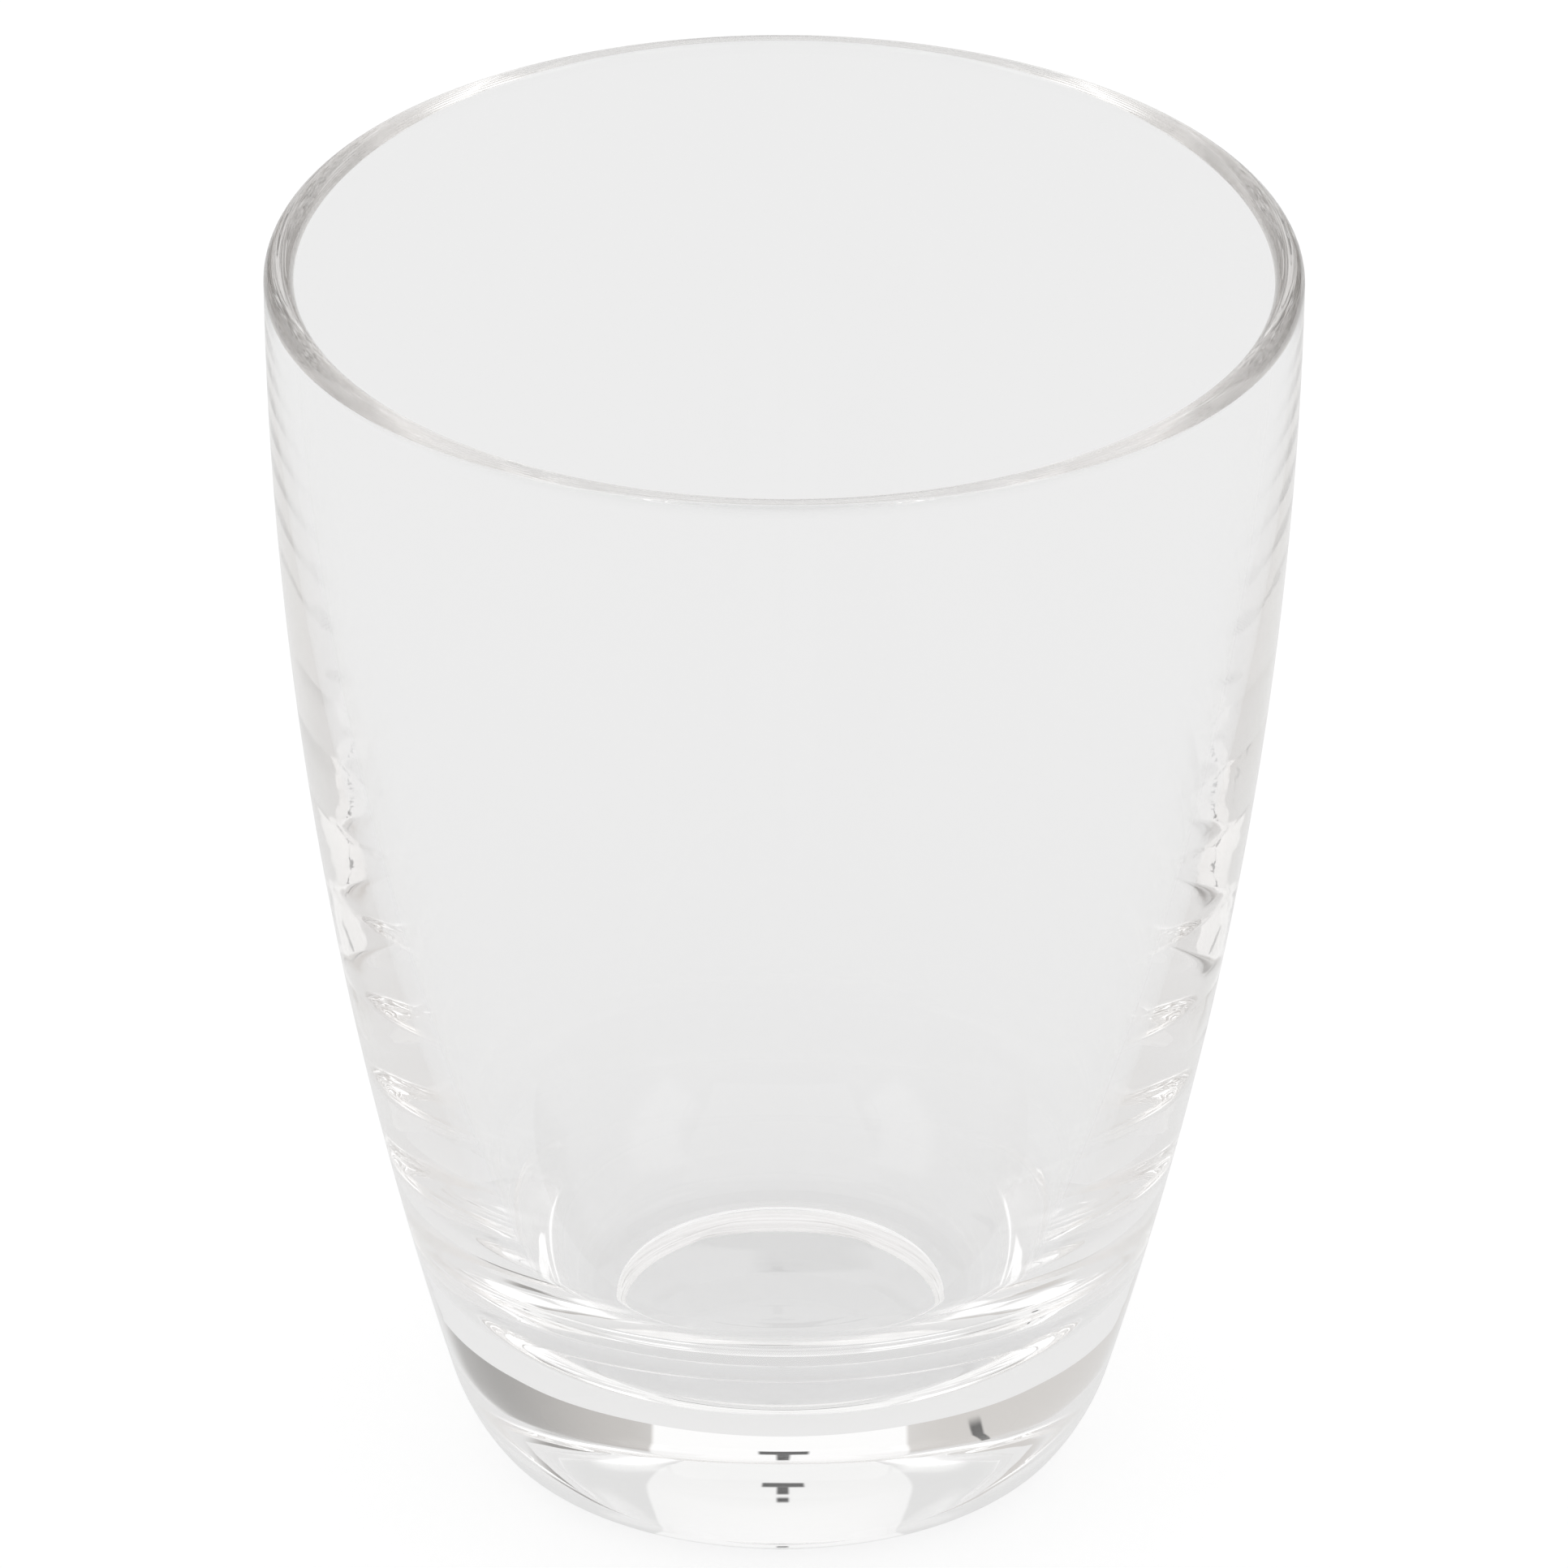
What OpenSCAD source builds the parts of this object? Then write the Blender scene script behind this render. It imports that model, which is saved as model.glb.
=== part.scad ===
// Clear juice glass: one revolved piece of glass with a round rim, a wall that
// thickens towards a heavy base, a rounded heel and a shallow recess underneath,
// so that it stands on a flat ring.
// Origin at the centre of the foot on the table, +Z up, millimetres.

/* [Overall] */
// Height from the table to the top of the rim
height = 100; // [85:1:105]
// Outside radius at the rim
mouth_radius = 39.4; // [37:0.1:46]

/* [Wall] */
// Thickness of the wall at the rim, which is rounded over its full width
rim_wall = 2.3; // [1.6:0.1:3]
// Angle by which the wall leans outwards at the rim
rim_lean = 0.88; // [0:0.02:2]
// Radius of the long arc that the outside of the wall follows from the rim to the heel
outer_sweep_radius = 342; // [310:1:500]
// Radius of the long arc that the inside of the wall follows from the rim to the floor
inner_sweep_radius = 242; // [220:1:280]

/* [Floor] */
// Thickness from the table to the lowest point of the floor inside
base_height = 11.5; // [9:0.5:16]
// Radius of the shallow dish that the floor inside follows
floor_dish_radius = 100; // [70:1:200]
// Radius of the blend between the floor and the inside of the wall
floor_blend_radius = 19; // [8:0.5:22]

/* [Heel] */
// Height at which the outside of the wall starts to turn in
heel_height = 7.3; // [6:0.1:9]
// Radius of the arc that turns the wall in
heel_radius = 16.5; // [14:0.5:20]
// Radius of the small round between that arc and the foot
toe_radius = 5; // [4:0.1:6]

/* [Underside] */
// Width of the flat ring that the glass stands on
foot_ring = 2.2; // [1:0.1:4]
// Depth of the recess inside the ring, at its edge
recess_depth = 2; // [1:0.1:3]
// Height of the slight dome of the recess above its edge
recess_rise = 0.3; // [0.1:0.1:1]
// Radius of the round between the dome and the upright side
recess_round = 0.4; // [0.2:0.1:0.8]

/* [Hidden] */
// Facets of a full turn, and of the long arcs, of which the glass uses a short stretch
$fn = 128;
sweep_facets = 720;

// The rim's round, and the long arcs, which meet it at the ends of a diameter across the wall
rim_radius = rim_wall / 2;
rim_centre = [mouth_radius - rim_radius, height - rim_radius];
rim_across = [cos(rim_lean), -sin(rim_lean)];
outer_centre = rim_centre - (outer_sweep_radius - rim_radius) * rim_across;
inner_centre = rim_centre - (inner_sweep_radius + rim_radius) * rim_across;

// The heel's arc leaves the wall in its own direction, and the toe's arc touches it and the table
heel_angle = asin((heel_height - outer_centre.y) / outer_sweep_radius);
heel_out = [cos(heel_angle), sin(heel_angle)];
heel_centre = outer_centre + (outer_sweep_radius - heel_radius) * heel_out;
toe_drop = heel_centre.y - toe_radius;
toe_centre = [heel_centre.x + sqrt((heel_radius - toe_radius) ^ 2 - toe_drop ^ 2), toe_radius];
toe_top = touch(heel_centre, toe_centre, toe_radius).y;

// The floor is the bottom of a large circle, and the blend's arc touches it and the wall
dish_centre = [0, base_height + floor_dish_radius];
blend_centre = crossing(
    inner_centre, inner_sweep_radius - floor_blend_radius,
    dish_centre, floor_dish_radius - floor_blend_radius);
blend_on_wall = touch(inner_centre, blend_centre, floor_blend_radius);
blend_on_floor = touch(dish_centre, blend_centre, floor_blend_radius);

// The recess is a cap of a large circle, with an upright side below it
recess_radius = toe_centre.x - foot_ring;
recess_top = recess_depth + recess_rise;
dome_radius = (recess_radius ^ 2 + recess_rise ^ 2) / (2 * recess_rise);
dome_centre = [0, recess_top - dome_radius];
round_reach = recess_radius - recess_round;
round_climb = sqrt((dome_radius - recess_round) ^ 2 - round_reach ^ 2);
round_centre = dome_centre + [round_reach, round_climb];
round_on_dome = touch(dome_centre, round_centre, recess_round);
round_on_side = [recess_radius, round_centre.y];

// Height of the diameter across the wall at the rim, carried on to any distance from the axis
function rim_line(x) = rim_centre.y - (x - rim_centre.x) * tan(rim_lean);

// Point where a small circle inside a large one touches it
function touch(large, small, radius) =
    small + radius * (small - large) / norm(small - large);

// Lower crossing of two circles, on the side of larger x
function crossing(a, a_radius, b, b_radius) =
    let (gap = norm(b - a),
         along = (gap ^ 2 + a_radius ^ 2 - b_radius ^ 2) / (2 * gap),
         across = sqrt(a_radius ^ 2 - along ^ 2),
         way = (b - a) / gap)
    a + along * way + across * [way.y, -way.x];

// Point where the tangents at two points of a circle meet
function tangent_meet(centre, from, to) =
    let (u = from - centre, v = to - centre)
    centre + (u + v) * (u * u) / (u * u + u * v);

// Large disc of which a short stretch of edge is used
module sweep_disc(centre, radius) {
    translate(centre) circle(r = radius, $fn = sweep_facets);
}

// Corner outside an arc that runs between two tangent points
module corner(centre, from, to) {
    difference() {
        polygon([centre, from, tangent_meet(centre, from, to), to]);
        translate(centre) circle(r = norm(from - centre));
    }
}

// What lies between two heights, from the axis outwards
module band(low, high) {
    intersection() {
        translate([0, low]) square([mouth_radius, high - low]);
        union() children();
    }
}

// Half section of the solid under the outside of the wall, the heel and the toe
module outside() {
    intersection() {
        sweep_disc(outer_centre, outer_sweep_radius);
        polygon([
            [0, heel_height], [mouth_radius, heel_height],
            [mouth_radius, rim_line(mouth_radius)], [0, rim_line(0)]]);
    }
    band(toe_top, heel_height) sweep_disc(heel_centre, heel_radius);
    band(0, toe_top) {
        translate(toe_centre) circle(r = toe_radius);
        square([toe_centre.x, toe_top]);
    }
}

// Half section of the space inside
module inside() {
    difference() {
        band(base_height, height) intersection() {
            sweep_disc(inner_centre, inner_sweep_radius);
            sweep_disc(dish_centre, floor_dish_radius);
        }
        corner(blend_centre, blend_on_wall, blend_on_floor);
    }
}

// Half section of the recess under the base
module recess() {
    difference() {
        intersection() {
            sweep_disc(dome_centre, dome_radius);
            square([recess_radius, recess_top]);
        }
        corner(round_centre, round_on_side, round_on_dome);
    }
}

// The glass, turned from its half section
module tumbler() {
    color([0.93, 0.95, 0.95, 0.4])
    rotate_extrude() {
        difference() {
            outside();
            inside();
            recess();
        }
        translate(rim_centre) circle(r = rim_radius);
    }
}

tumbler();
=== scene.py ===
import math
import bpy
from mathutils import Matrix, Vector


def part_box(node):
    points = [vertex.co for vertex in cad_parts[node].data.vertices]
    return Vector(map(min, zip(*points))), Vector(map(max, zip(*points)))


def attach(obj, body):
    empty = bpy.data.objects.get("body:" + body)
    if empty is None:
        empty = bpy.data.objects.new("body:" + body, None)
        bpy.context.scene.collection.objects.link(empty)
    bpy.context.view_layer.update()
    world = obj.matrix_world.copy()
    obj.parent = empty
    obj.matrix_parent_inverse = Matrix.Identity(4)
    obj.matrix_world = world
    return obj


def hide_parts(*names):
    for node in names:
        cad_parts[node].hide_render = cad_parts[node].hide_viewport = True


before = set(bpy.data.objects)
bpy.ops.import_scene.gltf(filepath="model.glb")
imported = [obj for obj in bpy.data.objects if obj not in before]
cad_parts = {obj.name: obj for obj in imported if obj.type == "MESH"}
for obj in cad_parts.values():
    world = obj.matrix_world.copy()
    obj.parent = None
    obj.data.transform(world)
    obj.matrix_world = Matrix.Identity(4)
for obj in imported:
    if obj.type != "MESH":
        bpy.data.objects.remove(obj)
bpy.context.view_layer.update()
scene = bpy.context.scene

# Camera, at the photograph's viewing angle: a long lens, looking down at the glass from the front.
# The aim point is on the axis, and the roll and the shift set the photograph's slight lean.
glass_low, glass_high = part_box("tumbler")
height = glass_high.z - glass_low.z
mouth_radius = (glass_high.x - glass_low.x) / 2
photo_side_px = 1932
focal_px = 44603
axis_left_of_centre_px = 2.1
sensor_width_mm = 36
nearest_seen = 0.01
distance_in_mouth_radii = 70
aim_in_mouth_radii = 1.4102
camera_distance = distance_in_mouth_radii * mouth_radius
camera_aim = Vector((0, 0, aim_in_mouth_radii * mouth_radius))
camera_elevation = math.radians(28.12)
camera_roll = math.radians(0.223)

camera_data = bpy.data.cameras.new("camera")
camera_data.sensor_width = sensor_width_mm
camera_data.lens = focal_px / photo_side_px * sensor_width_mm
camera_data.shift_x = axis_left_of_centre_px / photo_side_px
camera_data.clip_start = nearest_seen
camera = bpy.data.objects.new("camera", camera_data)
scene.collection.objects.link(camera)
camera_back = Vector((0, -math.cos(camera_elevation), math.sin(camera_elevation)))
camera.matrix_world = (
    Matrix.Translation(camera_aim + camera_distance * camera_back)
    @ Matrix.Rotation(math.pi / 2 - camera_elevation, 4, "X")
    @ Matrix.Rotation(camera_roll, 4, "Z")
)
scene.camera = camera

# The glass: one piece of clear soda-lime glass, pressed in a mould and fire-polished.
# It has a full round rim, a wall that thickens towards a heavy base, a rounded heel,
# and a shallow recess inside the flat ring that it stands on.
rim_wall = 0.0023
rim_lean = math.radians(0.88)
outer_sweep_radius = 0.342
inner_sweep_radius = 0.242
base_height = 0.0115
floor_dish_radius = 0.100
floor_blend_radius = 0.019
heel_height = 0.0073
heel_radius = 0.0165
toe_radius = 0.005
foot_ring = 0.0022
recess_depth = 0.002
recess_rise = 0.0003
recess_round = 0.0004
ring_edge_round = 0.0002

turn_steps = 288
dome_steps = 24
small_round_steps = 8
toe_steps = 20
heel_steps = 20
outer_steps = 72
rim_half_steps = 12
inner_steps = 64
blend_steps = 28
dish_steps = 20


def touch(large, small, radius):
    """Point where a small circle inside a large one touches it."""
    return small + radius * (small - large).normalized()


def crossing(a, a_radius, b, b_radius):
    """Lower crossing of two circles, on the outer side."""
    gap = (b - a).length
    along = (gap ** 2 + a_radius ** 2 - b_radius ** 2) / (2 * gap)
    across = math.sqrt(a_radius ** 2 - along ** 2)
    way = (b - a) / gap
    return a + along * way + across * Vector((way.y, -way.x))


def arc(centre, start, end, steps):
    """Points of the short arc about a centre, from start up to but without end.

    Each comes with the direction out of the glass, which lies to the left of the way along the arc.
    """
    radius = (start - centre).length
    first = math.atan2(start.y - centre.y, start.x - centre.x)
    sweep = -(start - centre).angle_signed(end - centre)
    side = math.copysign(1, sweep)
    turns = [first + sweep * step / steps for step in range(steps)]
    spokes = [Vector((math.cos(turn), math.sin(turn))) for turn in turns]
    return [(centre + radius * spoke, side * spoke) for spoke in spokes]


rim_radius = rim_wall / 2
rim_centre = Vector((mouth_radius - rim_radius, height - rim_radius))
rim_across = Vector((math.cos(rim_lean), -math.sin(rim_lean)))
rim_outside = rim_centre + rim_radius * rim_across
rim_inside = rim_centre - rim_radius * rim_across
rim_top = Vector((rim_centre.x, height))
outer_centre = rim_centre - (outer_sweep_radius - rim_radius) * rim_across
inner_centre = rim_centre - (inner_sweep_radius + rim_radius) * rim_across

heel_angle = math.asin((heel_height - outer_centre.y) / outer_sweep_radius)
heel_out = Vector((math.cos(heel_angle), math.sin(heel_angle)))
heel_on_wall = outer_centre + outer_sweep_radius * heel_out
heel_centre = heel_on_wall - heel_radius * heel_out
toe_drop = heel_centre.y - toe_radius
toe_reach = math.sqrt((heel_radius - toe_radius) ** 2 - toe_drop ** 2)
toe_centre = Vector((heel_centre.x + toe_reach, toe_radius))
toe_on_heel = touch(heel_centre, toe_centre, toe_radius)
toe_on_foot = Vector((toe_centre.x, 0))

floor_low = Vector((0, base_height))
dish_centre = Vector((0, base_height + floor_dish_radius))
blend_centre = crossing(
    inner_centre, inner_sweep_radius - floor_blend_radius,
    dish_centre, floor_dish_radius - floor_blend_radius)
blend_on_wall = touch(inner_centre, blend_centre, floor_blend_radius)
blend_on_floor = touch(dish_centre, blend_centre, floor_blend_radius)

recess_radius = toe_centre.x - foot_ring
recess_middle = Vector((0, recess_depth + recess_rise))
dome_radius = (recess_radius ** 2 + recess_rise ** 2) / (2 * recess_rise)
dome_centre = recess_middle - Vector((0, dome_radius))
round_reach = recess_radius - recess_round
round_climb = math.sqrt((dome_radius - recess_round) ** 2 - round_reach ** 2)
round_centre = dome_centre + Vector((round_reach, round_climb))
round_on_dome = touch(dome_centre, round_centre, recess_round)
round_on_side = Vector((recess_radius, round_centre.y))
edge_centre = Vector((recess_radius + ring_edge_round, ring_edge_round))
edge_on_side = Vector((recess_radius, edge_centre.y))
edge_on_foot = Vector((edge_centre.x, 0))

half_section = (
    arc(dome_centre, recess_middle, round_on_dome, dome_steps)
    + arc(round_centre, round_on_dome, round_on_side, small_round_steps)
    + [(round_on_side, Vector((-1, 0)))]
    + arc(edge_centre, edge_on_side, edge_on_foot, small_round_steps)
    + [(edge_on_foot, Vector((0, -1)))]
    + arc(toe_centre, toe_on_foot, toe_on_heel, toe_steps)
    + arc(heel_centre, toe_on_heel, heel_on_wall, heel_steps)
    + arc(outer_centre, heel_on_wall, rim_outside, outer_steps)
    + arc(rim_centre, rim_outside, rim_top, rim_half_steps)
    + arc(rim_centre, rim_top, rim_inside, rim_half_steps)
    + arc(inner_centre, rim_inside, blend_on_wall, inner_steps)
    + arc(blend_centre, blend_on_wall, blend_on_floor, blend_steps)
    + arc(dish_centre, blend_on_floor, floor_low, dish_steps)
    + [(floor_low, Vector((0, 1)))]
)


def swung(flat, turn):
    """A point or direction of the half section, swung about the axis."""
    return (flat.x * math.cos(turn), flat.x * math.sin(turn), flat.y)


under_pole, floor_pole = half_section[0], half_section[-1]
ring = half_section[1:-1]
glass_rows = [under_pole, floor_pole]
glass_turns = [0, 0]
glass_faces = []
for step in range(turn_steps):
    here = 2 + step * len(ring)
    there = 2 + (step + 1) % turn_steps * len(ring)
    glass_rows += ring
    glass_turns += [2 * math.pi * step / turn_steps] * len(ring)
    glass_faces.append((0, there, here))
    for row in range(len(ring) - 1):
        glass_faces.append((here + row, there + row, there + row + 1, here + row + 1))
    glass_faces.append((here + len(ring) - 1, there + len(ring) - 1, 1))
glass_points = [swung(point, turn) for (point, out), turn in zip(glass_rows, glass_turns)]
glass_normals = [swung(out, turn) for (point, out), turn in zip(glass_rows, glass_turns)]
glass_mesh = bpy.data.meshes.new("glass_body")
glass_mesh.from_pydata(glass_points, [], glass_faces)
glass_mesh.shade_smooth()
glass_mesh.normals_split_custom_set_from_vertices(glass_normals)
glass_body = bpy.data.objects.new("glass_body", glass_mesh)
scene.collection.objects.link(glass_body)

clear_glass = bpy.data.materials.new("clear_glass")
clear_glass.use_nodes = True
glass_nodes = clear_glass.node_tree.nodes
glass_links = clear_glass.node_tree.links
glass_shader = glass_nodes["Principled BSDF"]
glass_shader.inputs["Base Color"].default_value = (1, 1, 1, 1)
glass_shader.inputs["Roughness"].default_value = 0
glass_shader.inputs["IOR"].default_value = 1.52
glass_shader.inputs["Transmission Weight"].default_value = 1

# The base carries ripples from the mould and a faint haze, which both fade out above the floor.
base_zone_full = 0.011
base_zone_end = 0.024
ripples_per_metre = (25, 25, 350)
ripple_detail = 1
ripple_height = 0.000025
haze_patches_per_metre = 40
haze_detail = 4
haze_starts_at = 0.5
haze_full_at = 0.75
haze_roughness = 0.04

glass_place = glass_nodes.new("ShaderNodeTexCoord")
glass_split = glass_nodes.new("ShaderNodeSeparateXYZ")
glass_links.new(glass_place.outputs["Object"], glass_split.inputs[0])
base_zone = glass_nodes.new("ShaderNodeMapRange")
base_zone.interpolation_type = "SMOOTHSTEP"
base_zone.inputs["From Min"].default_value = base_zone_end
base_zone.inputs["From Max"].default_value = base_zone_full
glass_links.new(glass_split.outputs["Z"], base_zone.inputs["Value"])

ripple_stretch = glass_nodes.new("ShaderNodeMapping")
ripple_stretch.inputs["Scale"].default_value = ripples_per_metre
glass_links.new(glass_place.outputs["Object"], ripple_stretch.inputs["Vector"])
mould_ripples = glass_nodes.new("ShaderNodeTexNoise")
mould_ripples.inputs["Scale"].default_value = 1
mould_ripples.inputs["Detail"].default_value = ripple_detail
glass_links.new(ripple_stretch.outputs["Vector"], mould_ripples.inputs["Vector"])
base_ripples = glass_nodes.new("ShaderNodeMath")
base_ripples.operation = "MULTIPLY"
glass_links.new(mould_ripples.outputs["Fac"], base_ripples.inputs[0])
glass_links.new(base_zone.outputs["Result"], base_ripples.inputs[1])
ripple_bump = glass_nodes.new("ShaderNodeBump")
ripple_bump.inputs["Strength"].default_value = 1
ripple_bump.inputs["Distance"].default_value = ripple_height
glass_links.new(base_ripples.outputs[0], ripple_bump.inputs["Height"])
glass_links.new(ripple_bump.outputs["Normal"], glass_shader.inputs["Normal"])

haze_patches = glass_nodes.new("ShaderNodeTexNoise")
haze_patches.inputs["Scale"].default_value = haze_patches_per_metre
haze_patches.inputs["Detail"].default_value = haze_detail
glass_links.new(glass_place.outputs["Object"], haze_patches.inputs["Vector"])
haze = glass_nodes.new("ShaderNodeMapRange")
haze.inputs["From Min"].default_value = haze_starts_at
haze.inputs["From Max"].default_value = haze_full_at
haze.inputs["To Max"].default_value = haze_roughness
glass_links.new(haze_patches.outputs["Fac"], haze.inputs["Value"])
base_haze = glass_nodes.new("ShaderNodeMath")
base_haze.operation = "MULTIPLY"
glass_links.new(haze.outputs["Result"], base_haze.inputs[0])
glass_links.new(base_zone.outputs["Result"], base_haze.inputs[1])
glass_links.new(base_haze.outputs[0], glass_shader.inputs["Roughness"])

# A slight absorption, which warms and darkens the light that goes a long way through the glass.
glass_depth = glass_nodes.new("ShaderNodeVolumeAbsorption")
glass_depth.inputs["Color"].default_value = (0.50, 0.40, 0.30, 1)
glass_depth.inputs["Density"].default_value = 0.8
glass_links.new(glass_depth.outputs["Volume"], glass_nodes["Material Output"].inputs["Volume"])
glass_mesh.materials.append(clear_glass)

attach(glass_body, "root")
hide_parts("tumbler")

# The table: a white floor that the glass stands on, which shows white in the picture and
# through the glass, and still takes a soft shadow.
table_half = 4
table_gap = 0.0002
table_colour = (0.25, 0.25, 0.25, 1)
glow_in_glass = 0.62
glow_in_picture = 0.82

table_corners = ((-1, -1), (1, -1), (1, 1), (-1, 1))
table_mesh = bpy.data.meshes.new("table")
table_mesh.from_pydata(
    [(x * table_half, y * table_half, -table_gap) for x, y in table_corners], [], [(0, 1, 2, 3)])
table = bpy.data.objects.new("table", table_mesh)
scene.collection.objects.link(table)
table_white = bpy.data.materials.new("table_white")
table_white.use_nodes = True
table_nodes = table_white.node_tree.nodes
table_links = table_white.node_tree.links
table_shader = table_nodes["Principled BSDF"]
table_shader.inputs["Base Color"].default_value = table_colour
table_shader.inputs["Roughness"].default_value = 1
table_shader.inputs["Specular IOR Level"].default_value = 0
table_shader.inputs["Emission Color"].default_value = (1, 1, 1, 1)
table_path = table_nodes.new("ShaderNodeLightPath")
table_seen = table_nodes.new("ShaderNodeMath")
table_seen.operation = "MAXIMUM"
table_links.new(table_path.outputs["Is Glossy Ray"], table_seen.inputs[0])
table_links.new(table_path.outputs["Is Transmission Ray"], table_seen.inputs[1])
table_dim = table_nodes.new("ShaderNodeMath")
table_dim.operation = "MULTIPLY"
table_dim.inputs[1].default_value = glow_in_glass
table_links.new(table_seen.outputs[0], table_dim.inputs[0])
table_glow = table_nodes.new("ShaderNodeMath")
table_glow.operation = "MULTIPLY_ADD"
table_glow.inputs[1].default_value = glow_in_picture
table_links.new(table_path.outputs["Is Camera Ray"], table_glow.inputs[0])
table_links.new(table_dim.outputs[0], table_glow.inputs[2])
table_links.new(table_glow.outputs[0], table_shader.inputs["Emission Strength"])
table_mesh.materials.append(table_white)

# The studio: a soft lamp overhead in a light room, with a softbox high on each side. A white backdrop
# stands behind the glass, between a beige wall on the left and a darker one on the right, and a few
# stands and a pole show dark in the base.
lamp_width = 0.9
lamp_length = 1.2
lamp_watts = 1.1
lamp_place = (0, 0.1, 1.1)

lamp_data = bpy.data.lights.new("overhead_lamp", "AREA")
lamp_data.shape = "RECTANGLE"
lamp_data.size = lamp_width
lamp_data.size_y = lamp_length
lamp_data.energy = lamp_watts
lamp = bpy.data.objects.new("overhead_lamp", lamp_data)
scene.collection.objects.link(lamp)
lamp.location = lamp_place
lamp.visible_camera = False

room = bpy.data.worlds.new("room")
scene.world = room
room.use_nodes = True
room_nodes = room.node_tree.nodes
room_links = room.node_tree.links
room_light = room_nodes["Background"]


def room_math(operation, first, second=None, third=None):
    """One step of the room's arithmetic; an input is a socket or a number."""
    node = room_nodes.new("ShaderNodeMath")
    node.operation = operation
    for index, value in enumerate((first, second, third)):
        if isinstance(value, (int, float)):
            node.inputs[index].default_value = value
        elif value is not None:
            room_links.new(value, node.inputs[index])
    return node.outputs[0]


room_way = room_nodes.new("ShaderNodeTexCoord")
room_split = room_nodes.new("ShaderNodeSeparateXYZ")
room_links.new(room_way.outputs["Generated"], room_split.inputs[0])
bearing = room_math("DEGREES", room_math("ARCTAN2", room_split.outputs["X"], room_split.outputs["Y"]))
climb = room_math("DEGREES", room_math("ARCSINE", room_split.outputs["Z"]))


def room_step(value, low, high):
    """0 at one limit and 1 at the other, with a smooth change between them."""
    node = room_nodes.new("ShaderNodeMapRange")
    node.interpolation_type = "SMOOTHSTEP"
    room_links.new(value, node.inputs["Value"])
    node.inputs["From Min"].default_value = low
    node.inputs["From Max"].default_value = high
    return node.outputs["Result"]


def room_patch(left, right, low, high, soft, left_lean=0, right_lean=0):
    """1 inside a patch of the room, given by bearing and climb in degrees, and 0 outside it.

    A side leans by so many degrees of bearing for each degree of climb.
    """
    soft_side, soft_end = soft
    from_left = room_math("MULTIPLY_ADD", climb, -left_lean, bearing)
    from_right = room_math("MULTIPLY_ADD", climb, -right_lean, bearing)
    sides = room_math(
        "MULTIPLY",
        room_step(from_left, left - soft_side, left + soft_side),
        room_step(from_right, right + soft_side, right - soft_side))
    ends = room_math(
        "MULTIPLY",
        room_step(climb, low - soft_end, low + soft_end),
        room_step(climb, high + soft_end, high - soft_end))
    return room_math("MULTIPLY", sides, ends)


def room_paint(level, patch, new_level):
    """The room's level with a patch of it brought to a new level."""
    return room_math("MULTIPLY_ADD", patch, room_math("SUBTRACT", new_level, level), level)


# Levels, where 1 is white, and bearings and climbs in degrees, as seen from the glass.
# The soft values are half the width of an edge's fade, at the sides and at the top and bottom.
straight_down = -90
room_level = 0.80
ceiling_level = 0.64
ceiling_from, ceiling_full = 55, 72
softbox_level = 1.5
softbox_low, softbox_high = 43, 62
softbox_near, softbox_far = 48, 118
softbox_soft = (6, 4)
wall_top_level = 0.76
wall_top, wall_turn = 40, 19
left_wall_level = 0.64
left_wall_far, left_wall_near = -68, -14
left_wall_top_soft, left_wall_soft = (8, 9), (8, 3)
right_wall_near_level = 0.56
right_wall_far_level = 0.30
right_wall_near, right_wall_far = 14, 62
right_wall_top_soft, right_wall_soft = (6, 9), (6, 3)
right_wall_darkest = 48
wall_tone = (1.0, 0.965, 0.93, 1)
backdrop_level = 1.03
backdrop_top_level = 0.93
backdrop_fall_from, backdrop_fall_to = 20, 32
backdrop_top = 56
backdrop_half_width = 15.7
backdrop_spread = 0.14
backdrop_soft = (0.4, 8)
stand_level = 0.08
stands = ((-3.6, 2.6, 5.0, 9.6), (-1.3, 0.4, 9.4, 22.5), (-3.6, 2.6, 31.8, 33.8), (-1.3, 0.4, 29.3, 32))
stand_soft = (0.3, 0.4)
pole_left, pole_right = -26.1, -24.1
pole_low, pole_high = 3, 22
pole_lean = 0.38
pole_soft = (0.3, 2)

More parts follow.
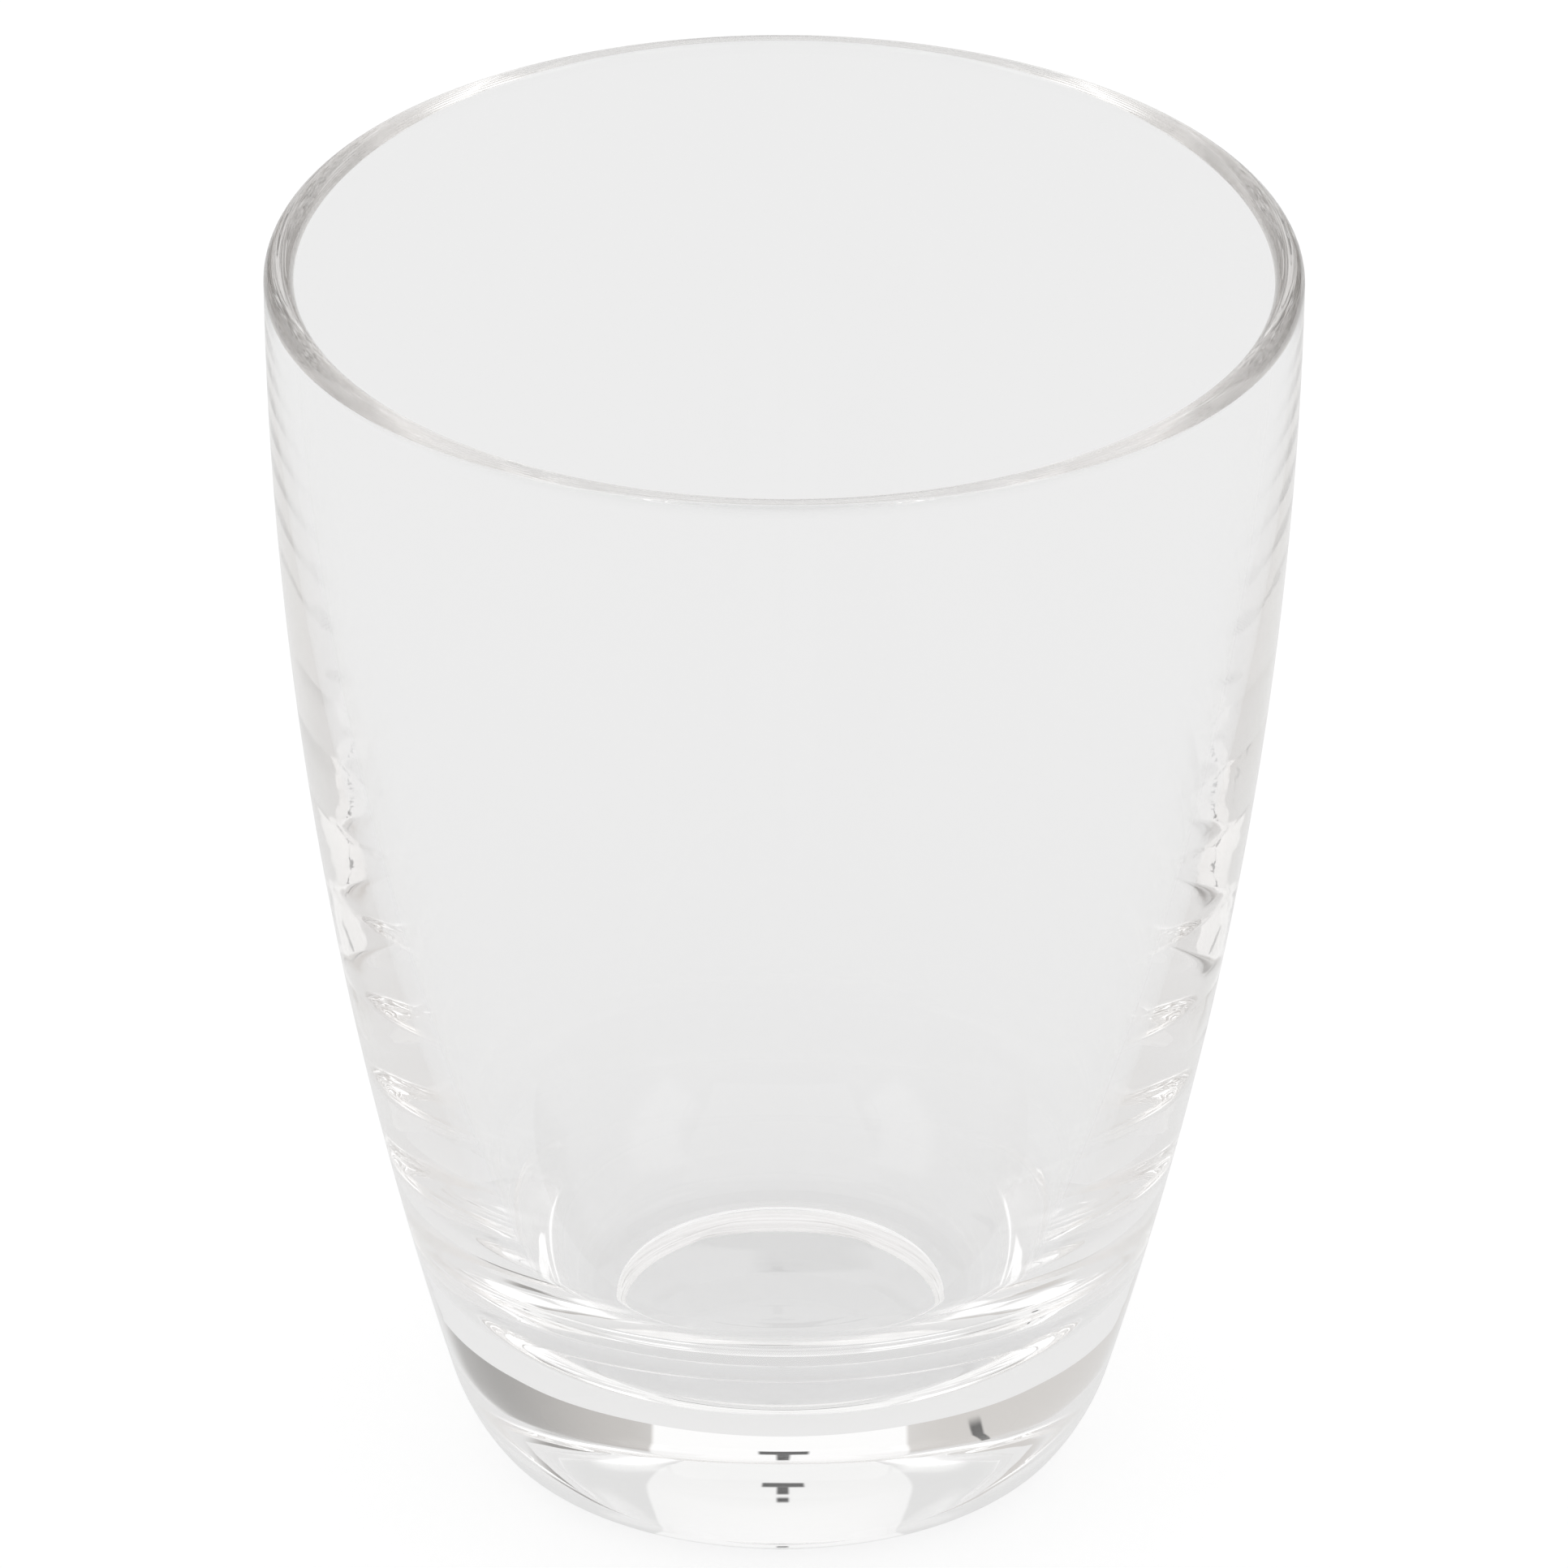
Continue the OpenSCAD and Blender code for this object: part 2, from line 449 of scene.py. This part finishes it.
left_wall_top = room_patch(left_wall_far, left_wall_near, straight_down, wall_top, left_wall_top_soft)
right_wall_top = room_patch(right_wall_near, right_wall_far, straight_down, wall_top, right_wall_top_soft)
left_wall = room_patch(left_wall_far, left_wall_near, straight_down, wall_turn, left_wall_soft)
right_wall = room_patch(right_wall_near, right_wall_far, straight_down, wall_turn, right_wall_soft)
right_wall_fall = room_step(bearing, backdrop_half_width, right_wall_darkest)
right_wall_level = room_math(
    "MULTIPLY_ADD", right_wall_fall, right_wall_far_level - right_wall_near_level, right_wall_near_level)
backdrop = room_patch(
    -backdrop_half_width, backdrop_half_width, straight_down, backdrop_top, backdrop_soft,
    -backdrop_spread, backdrop_spread)
backdrop_fall = room_step(climb, backdrop_fall_from, backdrop_fall_to)
backdrop_tone = room_math(
    "MULTIPLY_ADD", backdrop_fall, backdrop_top_level - backdrop_level, backdrop_level)
pole = room_patch(pole_left, pole_right, pole_low, pole_high, pole_soft, -pole_lean, -pole_lean)

level = room_paint(room_level, room_step(climb, ceiling_from, ceiling_full), ceiling_level)
for left, right in ((-softbox_far, -softbox_near), (softbox_near, softbox_far)):
    softbox = room_patch(left, right, softbox_low, softbox_high, softbox_soft)
    level = room_paint(level, softbox, softbox_level)
for wall in (left_wall_top, right_wall_top):
    level = room_paint(level, wall, wall_top_level)
level = room_paint(level, left_wall, left_wall_level)
level = room_paint(level, right_wall, right_wall_level)
level = room_paint(level, backdrop, backdrop_tone)
for left, right, low, high in stands:
    stand = room_patch(left, right, low, high, stand_soft)
    level = room_paint(level, stand, stand_level)
level = room_paint(level, pole, stand_level)
room_path = room_nodes.new("ShaderNodeLightPath")
seen = room_math("MAXIMUM", level, room_path.outputs["Is Camera Ray"])
room_links.new(seen, room_light.inputs["Strength"])

first_colour, second_colour, mixed_colour = 6, 7, 2
wall_tint = room_nodes.new("ShaderNodeMix")
wall_tint.data_type = "RGBA"
walls = room_math("ADD", left_wall, right_wall)
bare_walls = room_math("MULTIPLY", walls, room_math("SUBTRACT", 1, backdrop))
room_links.new(bare_walls, wall_tint.inputs["Factor"])
wall_tint.inputs[first_colour].default_value = (1, 1, 1, 1)
wall_tint.inputs[second_colour].default_value = wall_tone
room_links.new(wall_tint.outputs[mixed_colour], room_light.inputs["Color"])

# The number of bounces that light is followed for inside the glass, which sets how dark the rim is.
glass_bounces = 64
scene.view_settings.view_transform = "Standard"
scene.cycles.max_bounces = glass_bounces
scene.cycles.glossy_bounces = glass_bounces
scene.cycles.transmission_bounces = glass_bounces
